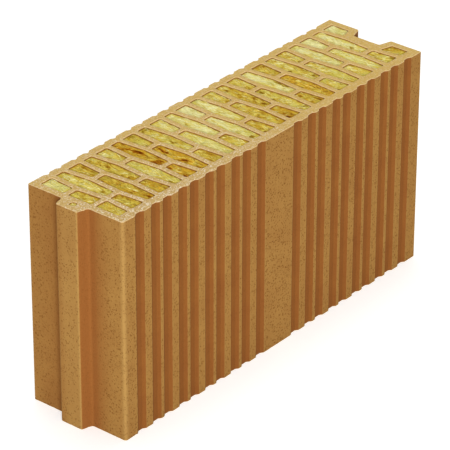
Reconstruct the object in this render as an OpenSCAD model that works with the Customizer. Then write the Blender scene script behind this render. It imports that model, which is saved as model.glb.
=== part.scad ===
// Ground clay block with zigzag cell walls, filled with mineral wool.
// The block stands as it is laid: cells upright, tongue towards -X, grooved face towards -Y.

/* [Block] */
// Length of the clay body between its two end faces
block_length = 480; // [420:1:540]
// Width of the block across its two long faces
block_width = 122.5; // [110:0.5:150]
// Height of the block between its ground bed faces
block_height = 249; // [100:1:300]
// Radius of the upright corner between the tongue end and the near face
front_corner_radius = 3; // [1:0.1:6]
// Radius of the other three upright corners
corner_radius = 0.6; // [0.5:0.1:4]

/* [Cells] */
// Columns of cells along the block
columns = 23; // [17:2:27]
// Thickness of the zigzag walls between columns
wall = 5.8; // [4:0.1:7]
// Swing of a zigzag wall to either side of its middle line
swing = 1.45; // [0.5:0.05:2.2]
// Thickness of the webs across a column
web = 5.6; // [4:0.1:8]
// Clay between the near long face and the cells
near_shell = 11.6; // [8:0.1:16]
// Clay between the far long face and the cells
far_shell = 9.4; // [7:0.1:14]
// Clay between the tongue end and the first column
tongue_end_shell = 8; // [6:0.1:12]
// Clay between the groove end and the last column
groove_end_shell = 8.2; // [6:0.1:12]
// Radius of the cell corners
cell_radius = 2.2; // [0.5:0.1:3]

/* [Tongue and end groove] */
// How far the tongue stands out from its end face
tongue_projection = 12.5; // [8:0.5:16]
// Width of the tongue at the end face
tongue_base = 34.5; // [28:0.5:40]
// Width of the tongue at its tip
tongue_tip = 27.2; // [20:0.2:28]
// Diameter of the round cell in the tongue
tongue_cell_d = 7.5; // [4:0.1:9]
// Distance from the end face out to the middle of that cell
tongue_cell_offset = 2.4; // [0:0.1:5]
// Room beside the next block's tongue, along the width
groove_side_clearance = 4.2; // [2:0.1:6]
// Room in front of the next block's tongue
groove_end_clearance = 2.5; // [1:0.1:4]
// Clay between an end groove flank and the cell behind it, along the width
groove_cheek = 10; // [7:0.1:13]
// Radius at the root of the tongue and the mouth of the end groove
root_radius = 3; // [1:0.1:5]
// Radius at the tip of the tongue and the floor of the end groove
tip_radius = 2; // [0.5:0.1:4]

/* [Plaster grooves] */
// Width of a near-face groove at its lips
near_lip = 13.2; // [9:0.1:14]
// Width of a near-face groove at its floor
near_floor = 6.2; // [3:0.1:8]
// Depth of a near-face groove
near_depth = 2.4; // [1:0.1:4]
// How far a near-face groove sits from its wall, towards the groove end
near_shift = 0.8; // [0:0.1:2]
// Near-face grooves left out in the middle, for the plain band
plain_walls = 2; // [0:2:6]
// Width of a far-face groove at its lips
far_lip = 8.6; // [6:0.1:12]
// Width of a far-face groove at its floor
far_floor = 1.8; // [1:0.1:5]
// Depth of a far-face groove
far_depth = 2.2; // [1:0.1:4]
// Radius of the groove lips and floors
lip_radius = 0.8; // [0.2:0.1:1.5]

/* [Wool] */
// How far the wool lies below either bed face
wool_recess = 1.5; // [0.5:0.1:4]
// Gap left between the wool and the clay around it
wool_clearance = 0.25; // [0.1:0.05:0.5]

/* [Hidden] */
clay_colour = "#B98A4B";
wool_colour = "#CDBE5C";
arc_steps = 4;

// The body's near corner at the tongue end, with the origin under the middle of the whole block
body_corner = [(tongue_projection - block_length) / 2, -block_width / 2, 0];
mid_y = block_width / 2;

// Three equal bays lie between the shells, and the zigzag bends at the middle of each web
bay = (block_width - near_shell - far_shell - 2 * web) / 3;
function bay_start(k) = near_shell + k * (bay + web);
function bay_end(k) = bay_start(k) + bay;
bends = [
    near_shell,
    bay_end(0) + web / 2,
    bay_end(1) + web / 2,
    block_width - far_shell
];

// Wall number i stands after column i, and swings to alternate sides at its four bends
pitch = (block_length - tongue_end_shell - groove_end_shell + wall) / columns;
function wall_middle(i) = tongue_end_shell - wall / 2 + i * pitch;
function swing_at(i, bend) = (i + bend) % 2 == 0 ? swing : -swing;
function wall_x(i, y) =
    wall_middle(i) + lookup(y, [for (k = [0:3]) [bends[k], swing_at(i, k)]]);

// Sides of a column at a given depth into the block, straight at the two ends
function left_x(column, y) =
    column == 1 ? tongue_end_shell : wall_x(column - 1, y) + wall / 2;
function right_x(column, y) =
    column == columns ? block_length - groove_end_shell : wall_x(column, y) - wall / 2;

// The end groove is the tongue's own outline, grown by the two clearances
flank_slope = (tongue_base - tongue_tip) / 2 / tongue_projection;
groove_depth = tongue_projection + groove_end_clearance;
groove_mouth = tongue_base + 2 * groove_side_clearance;
groove_floor = groove_mouth - 2 * flank_slope * groove_depth;
function flank_reach(x) = groove_mouth / 2 - flank_slope * (block_length - x) + groove_cheek;

// Every cell is [name, column, first bay, last bay]
function two_digits(n) = str(n < 10 ? "0" : "", n);
function cell(column, place, first, last) =
    [str("wool_", two_digits(column), "_", place), column, first, last];
function inner_cells(column) =
    column % 2 == 0
        ? [cell(column, "near", 0, 0), cell(column, "far", 1, 2)]
        : [cell(column, "near", 0, 1), cell(column, "far", 2, 2)];
cells = concat(
    [cell(1, "near", 0, 0), cell(1, "middle", 1, 1), cell(1, "far", 2, 2)],
    [for (column = [2:columns - 1]) each inner_cells(column)],
    [cell(columns, "near", 0, 0), cell(columns, "far", 2, 2)]
);

// One corner of an outline as an arc, no larger than its sides allow
function unit(v) = v / norm(v);
function turned(v, a) = [v.x * cos(a) - v.y * sin(a), v.x * sin(a) + v.y * cos(a)];
function arc(before, p, after, radius) =
    let (
        u = unit(before - p),
        v = unit(after - p),
        half = acos(max(-1, min(1, u * v))) / 2
    )
    radius == 0 || half > 89.9
        ? [p]
        : let (
            cut = min(radius / tan(half), norm(before - p) / 2, norm(after - p) / 2),
            centre = p + unit(u + v) * cut / cos(half),
            start = p + u * cut - centre,
            sweep = (cross(u, v) > 0 ? -1 : 1) * (180 - 2 * half)
        )
        [for (k = [0:arc_steps]) centre + turned(start, sweep * k / arc_steps)];

// A closed outline from corners given as [x, y, radius]
function flat(p) = [p[0], p[1]];
function rounded(corners) =
    let (n = len(corners))
    [for (i = [0:n - 1]) each arc(
        flat(corners[(i + n - 1) % n]),
        flat(corners[i]),
        flat(corners[(i + 1) % n]),
        corners[i][2]
    )];

// A cell's outline, drawn inwards by the inset
function inner_edge(c, x, inset) =
    c[1] < columns ? undef : c[2] == 0
        ? mid_y - flank_reach(x) - inset
        : mid_y + flank_reach(x) + inset;
function cell_corners(c, inset) =
    let (
        low = bay_start(c[2]) + inset,
        high = bay_end(c[3]) - inset,
        left = function (y) left_x(c[1], y) + inset,
        right = function (y) right_x(c[1], y) - inset,
        r = max(0.1, cell_radius - inset),
        bend = bends[c[3]],
        last = c[1] == columns,
        low_left = last && c[2] > 0 ? inner_edge(c, left(low), inset) : low,
        low_right = last && c[2] > 0 ? inner_edge(c, right(low), inset) : low,
        high_left = last && c[2] == 0 ? inner_edge(c, left(high), inset) : high,
        high_right = last && c[2] == 0 ? inner_edge(c, right(high), inset) : high
    )
    concat(
        [[left(low_left), low_left, r], [right(low_right), low_right, r]],
        c[3] > c[2] ? [[right(bend), bend, 0]] : [],
        [[right(high_right), high_right, r], [left(high_left), high_left, r]],
        c[3] > c[2] ? [[left(bend), bend, 0]] : []
    );

// Grooves of the two long faces, one opposite each wall
function near_grooves() = [
    for (i = [1:columns - 1])
        let (x = wall_x(i, near_shell) + near_shift)
        if (abs(i - columns / 2) > plain_walls / 2)
            each [
                [x - near_lip / 2, 0, lip_radius],
                [x - near_floor / 2, near_depth, lip_radius],
                [x + near_floor / 2, near_depth, lip_radius],
                [x + near_lip / 2, 0, lip_radius]
            ]
];
function far_grooves() = [
    for (i = [columns - 1:-1:1])
        let (x = wall_x(i, block_width - far_shell), deep = block_width - far_depth)
        each [
            [x + far_lip / 2, block_width, lip_radius],
            [x + far_floor / 2, deep, lip_radius],
            [x - far_floor / 2, deep, lip_radius],
            [x - far_lip / 2, block_width, lip_radius]
        ]
];

// The groove end from the near corner to the far one, and the tongue end back again
groove_end = [
    [block_length, 0, corner_radius],
    [block_length, mid_y - groove_mouth / 2, root_radius],
    [block_length - groove_depth, mid_y - groove_floor / 2, tip_radius],
    [block_length - groove_depth, mid_y + groove_floor / 2, tip_radius],
    [block_length, mid_y + groove_mouth / 2, root_radius],
    [block_length, block_width, corner_radius]
];
tongue_end = [
    [0, block_width, corner_radius],
    [0, mid_y + tongue_base / 2, root_radius],
    [-tongue_projection, mid_y + tongue_tip / 2, tip_radius],
    [-tongue_projection, mid_y - tongue_tip / 2, tip_radius],
    [0, mid_y - tongue_base / 2, root_radius],
    [0, 0, front_corner_radius]
];

module tongue_cell(inset) {
    translate([-tongue_cell_offset, mid_y])
        circle(d = tongue_cell_d - 2 * inset, $fn = 48);
}

// The extruded clay body: the outline with its grooves and tongue, less every cell
module clay_block() {
    color(clay_colour)
        translate(body_corner)
        linear_extrude(block_height)
        difference() {
            polygon(rounded(concat(near_grooves(), groove_end, far_grooves(), tongue_end)));
            for (c = cells)
                polygon(rounded(cell_corners(c, 0)));
            tongue_cell(0);
        }
}

// Wool standing in one cell, set back from both bed faces
module wool_column() {
    color(wool_colour)
        translate(body_corner + [0, 0, wool_recess])
        linear_extrude(block_height - 2 * wool_recess)
        children();
}

module wool_insert(c) {
    wool_column()
        polygon(rounded(cell_corners(c, wool_clearance)));
}

module wool_tongue() {
    wool_column()
        tongue_cell(wool_clearance);
}

clay_block();
wool_tongue();
for (c = cells)
    wool_insert(c);
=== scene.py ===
# %% [markdown]
# # Wool-filled clay block
# This lesson dresses one building block for warm walls. The real block is clay pushed through a die, so
# every wall in it is one outline drawn straight up. It is cut to length, dried, fired and ground flat on
# its two beds, and each cell is then packed with mineral wool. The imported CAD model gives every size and
# place here. Blender adds what the CAD leaves out: worn edges, a fired skin, ground beds and the loose
# face of the wool.

import bpy
import numpy as np
from mathutils import Matrix, Vector
from mathutils.geometry import delaunay_2d_cdt


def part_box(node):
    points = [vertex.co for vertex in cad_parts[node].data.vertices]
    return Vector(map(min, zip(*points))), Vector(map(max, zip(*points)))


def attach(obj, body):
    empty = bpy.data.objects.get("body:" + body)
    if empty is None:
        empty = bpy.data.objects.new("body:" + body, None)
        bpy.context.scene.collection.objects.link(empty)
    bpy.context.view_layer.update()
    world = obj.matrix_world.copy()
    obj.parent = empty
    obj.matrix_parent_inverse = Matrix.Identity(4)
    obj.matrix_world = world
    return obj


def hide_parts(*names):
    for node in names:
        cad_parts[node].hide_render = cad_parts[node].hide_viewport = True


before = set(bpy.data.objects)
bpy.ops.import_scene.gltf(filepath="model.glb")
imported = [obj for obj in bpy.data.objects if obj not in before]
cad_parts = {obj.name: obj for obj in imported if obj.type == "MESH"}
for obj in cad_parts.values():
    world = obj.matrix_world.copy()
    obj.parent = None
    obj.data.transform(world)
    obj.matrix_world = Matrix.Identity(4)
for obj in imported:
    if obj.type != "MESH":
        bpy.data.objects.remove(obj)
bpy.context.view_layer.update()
MM = 0.001

# %% [markdown]
# ## Camera
# The block stands turned by about fifty degrees, seen from above through a long lens, so its upright
# edges stay almost parallel. A camera is easiest to place from its aim: start at the point it looks at,
# turn, and step back along its own axis. Blender's camera looks down its local Z axis, so a tilt of
# ninety degrees less the elevation gives the view from above.

# %% Place the camera
CAMERA_AIM = Vector((-0.0024, 0.0022, 0.1237))
CAMERA_DISTANCE = 3.2735
CAMERA_AZIMUTH = np.radians(-50.632)
CAMERA_ELEVATION = np.radians(29.337)
CAMERA_ROLL = np.radians(0.156)

camera_data = bpy.data.cameras.new("camera")
camera_data.sensor_width = 36.0
camera_data.lens = 253.3
camera_data.clip_end = 30.0
camera = bpy.data.objects.new("camera", camera_data)
round_block = Matrix.Rotation(CAMERA_AZIMUTH, 4, "Z")
tilt = Matrix.Rotation(np.pi / 2 - CAMERA_ELEVATION, 4, "X")
roll = Matrix.Rotation(CAMERA_ROLL, 4, "Z")
step_back = Matrix.Translation((0.0, 0.0, CAMERA_DISTANCE))
camera.matrix_world = Matrix.Translation(CAMERA_AIM) @ round_block @ tilt @ roll @ step_back
bpy.context.scene.collection.objects.link(camera)
bpy.context.scene.camera = camera
bpy.context.scene.view_settings.view_transform = "Standard"
print("camera stands at", [round(v, 3) for v in camera.matrix_world.translation])

# %% [markdown]
# ## Colours and nodes
# Colours are picked on a screen as sRGB hex values, but Blender's nodes count in linear light, so one
# function turns one into the other. A second small function adds a node, sets its properties, and gives
# each input either a value or a link. With these two, a material reads as a list of what lies on the
# surface. On a Mix node for colours, inputs 0, 6 and 7 are the share and the two colours, and output 2 is
# the colour mixed.

# %% Helpers for colours and nodes
def linear(hex_colour):
    """sRGB to linear: a low value is divided by 12.92, a higher one is ((value + 0.055) / 1.055) ** 2.4."""
    srgb = np.array([int(hex_colour[i : i + 2], 16) / 255 for i in (1, 3, 5)])
    light = np.where(srgb <= 0.04045, srgb / 12.92, ((srgb + 0.055) / 1.055) ** 2.4)
    return (*light.tolist(), 1.0)


def add(tree, kind, inputs=None, **settings):
    """Adds a shader node of this kind.

    Settings are the node's properties, and inputs maps each socket to a value or to an output to link.
    """
    node = tree.nodes.new("ShaderNode" + kind)
    for name, value in settings.items():
        setattr(node, name, value)
    for key, value in (inputs or {}).items():
        if isinstance(value, bpy.types.NodeSocket):
            tree.links.new(value, node.inputs[key])
        else:
            node.inputs[key].default_value = value
    return node


def new_material(name):
    """An empty material with its output and Principled shader joined."""
    material = bpy.data.materials.new(name)
    material.use_nodes = True
    tree = material.node_tree
    tree.nodes.clear()
    shader = add(tree, "BsdfPrincipled")
    add(tree, "OutputMaterial", {"Surface": shader.outputs["BSDF"]})
    return material, tree, shader


print("mid ochre in linear light:", [round(v, 3) for v in linear("#A87C41")])

# %% [markdown]
# ## Floor and light
# The block stands on a plain white ground under soft light. A floor can be white by being lit hard, but
# that would bleach the block too. Here the floor and the world turn white only for the camera and for
# mirrors, through the Light Path node. The floor's own paint is a pale grey that still catches the
# block's shadow. One large soft box stands behind the camera and faces the front corner, so that both
# upright faces take the same light and the corner between them takes a little more. A second one hangs
# over the far side, for the beds.

# %% Lay the white floor
FLOOR_HALF = 6.0
PAPER_GLOW = 0.52


def seen_directly(tree):
    """The largest of three Light Path values: 1 for a ray from the camera, off a mirror or through glass."""
    path = add(tree, "LightPath").outputs
    mirrored = add(
        tree, "Math", {0: path["Is Camera Ray"], 1: path["Is Glossy Ray"]}, operation="MAXIMUM"
    ).outputs[0]
    through = {0: mirrored, 1: path["Is Transmission Ray"]}
    return add(tree, "Math", through, operation="MAXIMUM").outputs[0]


floor_mesh = bpy.data.meshes.new("floor")
floor_corners = [(-1, -1, 0), (1, -1, 0), (1, 1, 0), (-1, 1, 0)]
floor_mesh.from_pydata((np.array(floor_corners) * FLOOR_HALF).tolist(), [], [(0, 1, 2, 3)])
floor = bpy.data.objects.new("floor", floor_mesh)
bpy.context.scene.collection.objects.link(floor)

white_ground = bpy.data.materials.new("white_ground")
white_ground.use_nodes = True
tree = white_ground.node_tree
tree.nodes.clear()
paper_share = add(tree, "Math", {0: seen_directly(tree), 1: PAPER_GLOW}, operation="MULTIPLY")
paint = add(tree, "BsdfDiffuse", {"Color": linear("#E6E5E2")})
paper = add(tree, "Emission", {"Color": (1.0, 1.0, 1.0, 1.0), "Strength": paper_share.outputs[0]})
ground = add(tree, "AddShader", {0: paint.outputs[0], 1: paper.outputs[0]})
add(tree, "OutputMaterial", {"Surface": ground.outputs[0]})
floor_mesh.materials.append(white_ground)
print("floor is", 2 * FLOOR_HALF, "m across")

# %% Light the block
ROOM_LIGHT = 0.34

world = bpy.data.worlds.new("pale_room")
bpy.context.scene.world = world
world.use_nodes = True
tree = world.node_tree
tree.nodes.clear()
strength = add(tree, "MapRange", {"Value": seen_directly(tree), "To Min": ROOM_LIGHT, "To Max": 1.0})
sky = add(tree, "Background", {"Color": (1.0, 1.0, 1.0, 1.0), "Strength": strength.outputs["Result"]})
add(tree, "OutputWorld", {"Surface": sky.outputs[0]})

# Where each box stands and how wide it is, in metres, and its power in watts
SOFT_BOXES = {
    "corner_box": ((-4.4, -4.2, 2.1), 2.2, 316.0),
    "bed_box": ((0.35, 0.35, 2.75), 1.2, 27.0),
}
for name, (place, side, watts) in SOFT_BOXES.items():
    lamp = bpy.data.lights.new(name, "AREA")
    lamp.size = side
    lamp.energy = watts
    box = bpy.data.objects.new(name, lamp)
    facing = (CAMERA_AIM - Vector(place)).to_track_quat("-Z", "Y")
    box.matrix_world = Matrix.Translation(place) @ facing.to_matrix().to_4x4()
    bpy.context.scene.collection.objects.link(box)
print("lamps:", list(SOFT_BOXES))

# %% [markdown]
# ## Outlines from the CAD
# Every wall of the block is an outline drawn straight up, so the rings round its upper bed hold the whole
# shape. They could be typed in again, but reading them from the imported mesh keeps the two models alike.
# Each upright triangle with two corners on the bed gives one step of a ring. Hopping along these steps 1,
# 2, 4, 8 at a time puts a ring in order without visiting its corners one by one.

# %% Read the rings round an upper face
def upper_rings(node):
    """The closed rings round a prism's upper face, in mm, each with the solid on its left.

    A wall triangle whose first corner is the low one runs low, a, b, and b to a is a step of the ring.
    The label of a ring is its lowest corner number, found by taking the smaller label while the hop
    doubles in length.
    """
    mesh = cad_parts[node].data
    mesh.calc_loop_triangles()
    points = np.empty(len(mesh.vertices) * 3)
    mesh.vertices.foreach_get("co", points)
    corners = np.empty(len(mesh.loop_triangles) * 3, dtype=np.int64)
    mesh.loop_triangles.foreach_get("vertices", corners)
    places, merged = np.unique((points.reshape(-1, 3) / MM).round(3), axis=0, return_inverse=True)
    triangles = merged.reshape(-1)[corners].reshape(-1, 3)
    on_bed = np.isclose(places[:, 2], places[:, 2].max())[triangles]
    walls = on_bed.sum(axis=1) == 2
    triangles = triangles[walls]
    low = np.argmin(on_bed[walls], axis=1)
    rows = np.arange(len(triangles))
    step = np.arange(len(places))
    step[triangles[rows, (low + 2) % 3]] = triangles[rows, (low + 1) % 3]
    used = np.unique(triangles[rows, (low + 1) % 3])
    label = np.arange(len(places))
    hop = step
    for _ in range(int(np.ceil(np.log2(len(used)))) + 1):
        label = np.minimum(label, label[hop])
        hop = hop[hop]
    rings = []
    for start in np.unique(label[used]):
        count = int(np.sum(label[used] == start))
        order = np.array([start])
        hop = step
        while len(order) < count:
            order = np.concatenate([order, hop[order]])
            hop = hop[hop]
        rings.append(places[order[:count], :2])
    return rings


def ring_area(ring):
    """Half the sum of the cross products of neighbouring corners, above 0 when it runs anticlockwise."""
    ahead = np.roll(ring, -1, axis=0)
    return 0.5 * np.sum(ring[:, 0] * ahead[:, 1] - ring[:, 1] * ahead[:, 0])


clay_rings = sorted(upper_rings("clay_block"), key=ring_area, reverse=True)
print("rings:", len(clay_rings), "outer ring of", len(clay_rings[0]), "corners")

# %% [markdown]
# ## Walking along a ring
# Four helpers work along each ring before it becomes clay. The first cuts its sides into short steps, so
# that wear can vary along an edge. The second finds the direction into the clay at each point. The third
# is a smooth random wave, made by blending random values that sit on a lattice, which stands for anything
# uneven. The last eases a value from 0 to 1 between two limits. Modifiers could do some of this, but not
# from one formula.

# %% Helpers that work along a ring
def finer(ring, spacing):
    """Each side of the ring cut into equal steps no longer than the spacing, with every corner kept."""
    sides = np.roll(ring, -1, axis=0) - ring
    cuts = np.maximum(1, np.ceil(np.linalg.norm(sides, axis=1) / spacing)).astype(int)
    side = np.repeat(np.arange(len(ring)), cuts)
    share = (np.arange(cuts.sum()) - np.repeat(np.cumsum(cuts) - cuts, cuts)) / cuts[side]
    return ring[side] + sides[side] * share[:, None]


def into_clay(ring):
    """The unit direction into the clay: the middle of the two sides' left-hand normals."""
    side = np.roll(ring, -1, axis=0) - ring
    side = side / np.linalg.norm(side, axis=1, keepdims=True)
    left = np.stack([-side[:, 1], side[:, 0]], axis=1)
    middle = left + np.roll(left, 1, axis=0)
    return middle / np.linalg.norm(middle, axis=1, keepdims=True)


LATTICE_SIDE = 128
LATTICE = np.random.default_rng(41).random((LATTICE_SIDE, LATTICE_SIDE))


def wave(x, y):
    """Smooth noise from 0 to 1: random values on unit squares, blended with weights of 3t^2 - 2t^3."""
    i = np.floor(x).astype(int)
    j = np.floor(y).astype(int)
    u = x - i
    v = y - j
    u = u * u * (3 - 2 * u)
    v = v * v * (3 - 2 * v)
    i, i_next = i % LATTICE_SIDE, (i + 1) % LATTICE_SIDE
    j, j_next = j % LATTICE_SIDE, (j + 1) % LATTICE_SIDE
    low = LATTICE[i, j] * (1 - u) + LATTICE[i_next, j] * u
    high = LATTICE[i, j_next] * (1 - u) + LATTICE[i_next, j_next] * u
    return low * (1 - v) + high * v


def ease(value, start, end):
    """A smooth step from 0 at start to 1 at end."""
    share = np.clip((value - start) / (end - start), 0, 1)
    return share * share * (3 - 2 * share)


OUTER_STEP = 0.8
outer_ring = finer(clay_rings[0], OUTER_STEP)
print("outer ring now has", len(outer_ring), "points")

# %% [markdown]
# ## Where the clay is painted redder, darker or paler
# The open faces of the block carry a yellow-brown bloom, while the grooves, the flanks of the tongue and
# the corners beside it are painted redder and darker: partly a redder skin, as the hot gases reached them
# less, and partly a painted shade of the hollows. This is a kind of ambient occlusion, worked out in the
# plan: each point of the outline sends out a fan of rays, and the share that hits the block again is its
# shelter. A second measure, the crest, adds up how far the outline turns outwards within a few
# millimetres, for corners painted paler, partly rubbed and partly a painted highlight, and reaches further
# at the tongue end. The far half of that end is painted darker and redder, a painted shade of the tongue,
# its near half is a brighter red, partly a redder skin and partly painted light that offsets the tongue's
# shade, and the pores lie thickest on the plain band.

# %% Rays and turns round the outline
# Lengths on a ray are in mm
RAYS = 40
RAY_REACH = 34.0
RAY_START = 0.02
RAY_SHORTEST = 0.05
TINY = 1e-9


def shelter_of(ring, walls):
    """The share of rays, spread evenly over the half circle that faces away from the clay, that meet a wall.

    A ray p + t d meets the side a + s (b - a) where t is above 0 and s lies from 0 to 1. The nearest hit
    counts 1 - (t / reach) squared, so that far walls shelter less.
    """
    outwards = -into_clay(ring)
    start = ring + outwards * RAY_START
    side = np.roll(walls, -1, axis=0) - walls
    reach = walls[None, :, :] - start[:, None, :]
    hits = np.zeros(len(ring))
    for angle in (np.arange(RAYS) + 0.5) / RAYS * np.pi - np.pi / 2:
        ray_x = outwards[:, 0] * np.cos(angle) - outwards[:, 1] * np.sin(angle)
        ray_y = outwards[:, 0] * np.sin(angle) + outwards[:, 1] * np.cos(angle)
        cross = ray_x[:, None] * side[None, :, 1] - ray_y[:, None] * side[None, :, 0]
        cross = np.where(np.abs(cross) < TINY, TINY, cross)
        t = (reach[..., 0] * side[None, :, 1] - reach[..., 1] * side[None, :, 0]) / cross
        s = (reach[..., 0] * ray_y[:, None] - reach[..., 1] * ray_x[:, None]) / cross
        nearest = np.where((t > RAY_SHORTEST) & (s >= 0) & (s <= 1), t, RAY_REACH).min(axis=1)
        hits += 1 - np.minimum(nearest / RAY_REACH, 1) ** 2
    return hits / RAYS


def crest_of(ring, width):
    """The outward turn of the outline, in quarter circles, gathered with a bell curve of this width."""
    side = np.roll(ring, -1, axis=0) - ring
    heading = np.arctan2(side[:, 1], side[:, 0])
    turn = (heading - np.roll(heading, 1) + np.pi) % (2 * np.pi) - np.pi
    gap = np.linalg.norm(ring[:, None, :] - ring[None, :, :], axis=2)
    return np.clip(np.exp(-((gap / width) ** 2)) @ turn / (np.pi / 2), 0, 1)


outer_shelter = shelter_of(outer_ring, clay_rings[0])
print("shelter up to", outer_shelter.max().round(2))

# %% Paint the corners paler: partly rubbed, partly a painted highlight
# Widths, reaches and places are in mm, gains and crests are shares
CREST_WIDTH = 1.5
BROAD_CREST_WIDTH = 2.8
BROAD_CREST_GAIN = 1.1
BROAD_CREST_UP_TO = 20.0
TONGUE_END_REACH = 18.0
TONGUE_FRONT_REACH = 0.3
TONGUE_FRONT_CREST = 0.35

tongue_tip = clay_rings[0][:, 0].min()
tongue_end = outer_ring[:, 0] < tongue_tip + TONGUE_END_REACH
broad = tongue_end & (outer_ring[:, 1] < BROAD_CREST_UP_TO)
broad_crest = BROAD_CREST_GAIN * crest_of(outer_ring, BROAD_CREST_WIDTH)
outer_crest = crest_of(outer_ring, CREST_WIDTH)
outer_crest = np.where(broad, np.maximum(outer_crest, broad_crest), outer_crest).clip(0, 1)
tongue_front = outer_ring[:, 0] < tongue_tip + TONGUE_FRONT_REACH
outer_crest = np.where(tongue_front, np.maximum(outer_crest, TONGUE_FRONT_CREST), outer_crest)
print("crest up to", outer_crest.max().round(2))

# %% Paint the sheltered places redder and darker: a redder skin and painted shade
# Depths and reaches are in mm, and a pair says where a share begins to rise and where it is full
MOST_RED_AND_SHADE = 0.86
SHELTER_START = 0.02
SHELTER_SPAN = 0.23
GROOVE_SHELTER = 0.004
GROOVE_DEEPEST = 3.0
GROOVE_LIP = 0.14
TONGUE_REACH = 11.0
FLANK_TURN = (0.6, 0.94)
# The far half of the tongue end is painted darker and redder: a painted shade of the tongue
PAINTED_TONGUE_SHADE_MOST = 0.5
PAINTED_TONGUE_SHADE_RISE = (2.0, 16.0)
PAINTED_TONGUE_SHADE_FALL = (24.0, 58.0)
PAINTED_TONGUE_SHADE_LOSS = 0.5
PAINTED_TONGUE_SHADE_FACING = (0.8, 0.95)

inwards = into_clay(outer_ring)
groove_depth = np.abs(clay_rings[0][:, 1]).max() - np.abs(outer_ring[:, 1])
in_groove = (outer_shelter > GROOVE_SHELTER) & (groove_depth < GROOVE_DEEPEST)
# Sheltered places are painted redder and darker: a redder skin and a painted shade of the hollows
outer_red_and_shade = MOST_RED_AND_SHADE * np.clip((outer_shelter - SHELTER_START) / SHELTER_SPAN, 0, 1)
outer_red_and_shade = np.where(in_groove, np.maximum(outer_red_and_shade, ease(groove_depth, 0.0, GROOVE_LIP)), outer_red_and_shade)
on_tongue = outer_ring[:, 0] < tongue_tip + TONGUE_REACH
flank = MOST_RED_AND_SHADE * ease(np.abs(inwards[:, 1]), *FLANK_TURN)
outer_red_and_shade = np.where(on_tongue, np.maximum(outer_red_and_shade, flank), outer_red_and_shade)
# Painted shade of the tongue, on the far half of the end face
painted_tongue_shade = PAINTED_TONGUE_SHADE_MOST * ease(outer_ring[:, 1], *PAINTED_TONGUE_SHADE_RISE) * (1 - PAINTED_TONGUE_SHADE_LOSS * ease(outer_ring[:, 1], *PAINTED_TONGUE_SHADE_FALL))
painted_tongue_shade = painted_tongue_shade * ease(inwards[:, 0], *PAINTED_TONGUE_SHADE_FACING)
outer_red_and_shade = np.maximum(outer_red_and_shade, np.where(outer_ring[:, 0] < 0, painted_tongue_shade, 0))
print("mean red round the outline:", outer_red_and_shade.mean().round(2))

# %% Paint the near tongue end a brighter red, partly painted light, and spread the pores
FLUSH_AND_LIGHT_END = 10.0
PLAIN_BAND_MIDDLE = 3.0
PLAIN_BAND_HALF = 16.0
TONGUE_END_PITS = 0.75
PLAIN_BAND_PITS = 1.0
USUAL_PITS = 0.8

# The near half of the tongue end is a brighter red: a redder skin, and painted light against the tongue's
# shade
outer_flush_and_light = np.where(tongue_end, 1 - ease(outer_ring[:, 1], 0.0, FLUSH_AND_LIGHT_END), 0.0)
plain_band = (np.abs(outer_ring[:, 0] - PLAIN_BAND_MIDDLE) < PLAIN_BAND_HALF) & (outer_ring[:, 1] < 0)
outer_pits = np.where(tongue_end, TONGUE_END_PITS, np.where(plain_band, PLAIN_BAND_PITS, USUAL_PITS))
print("points on the tongue end and the plain band:", int(tongue_end.sum()), int(plain_band.sum()))

# %% [markdown]
# ## Clay body
# Cutting, grinding and stacking take the sharpness off the clay, so its edges at the beds are small
# uneven roundings with a few chips. A Bevel modifier would make them all alike. Here a profile is carried
# round each ring instead: a narrow rim on the bed, a quarter ellipse whose size changes along the edge,
# the straight wall, and the same again below. The two beds are then filled between the rings by a
# Delaunay triangulation.

# %% Profile of a worn edge
BLOCK_HEIGHT = float(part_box("clay_block")[1][2] / MM)
WEAR_ANGLES = np.radians([0, 30, 60, 90])
# How far each row of the profile, from the upper bed to the lower, is ground bed and pale edge, which is
# partly rubbed and dusted and partly a painted highlight
PROFILE_BED = np.array([1, 1, 1, 0.75, 0, 0, 0.75, 1, 1, 1])
PROFILE_EDGE = np.array([0, 1, 1, 0.7, 0, 0, 0.7, 1, 1, 0])


def worn_profile(radius, depth, rim):
    """Rows of the profile at every ring point: how far into the clay and how high.

    On the quarter ellipse the way in is radius * (1 - sin a), and the drop is depth * (1 - cos a).
    """
    inward = [radius + rim] + [radius * (1 - np.sin(a)) for a in WEAR_ANGLES]
    drop = [radius * 0] + [depth * (1 - np.cos(a)) for a in WEAR_ANGLES]
    inward = np.array(inward)
    drop = np.array(drop)
    return np.concatenate([inward, inward[::-1]]), np.concatenate([BLOCK_HEIGHT - drop, drop[::-1]])


print("profile rows:", len(PROFILE_BED))

# %% Wear along an edge
# Radius of the wear in mm, what a chip adds to it, how many times deeper than wide it is, the width of
# the rim on the bed in mm, and how pale the edge is painted, which is partly rubbed and dusted and partly a
# painted highlight
WEAR = {
    "outer": {"radius": 0.45, "chip": 0.45, "deeper": 1.6, "rim": 0.18, "pale": 1.0},
    "cell": {"radius": 0.6, "chip": 0.35, "deeper": 1.2, "rim": 0.6, "pale": 0.75},
}
# Lengths along the edge are in mm, and rows are on the lattice of random values
WEAR_LENGTH = 4.0
WEAR_LEAST = 0.7
WEAR_SWAY = 0.6
WEAR_ROWS = 7.3
CHIP_LENGTH = 3.1
CHIP_LEVELS = (0.78, 0.97)
CHIP_ROWS = 5.1
CHIP_FIRST_ROW = 60.5


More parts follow.
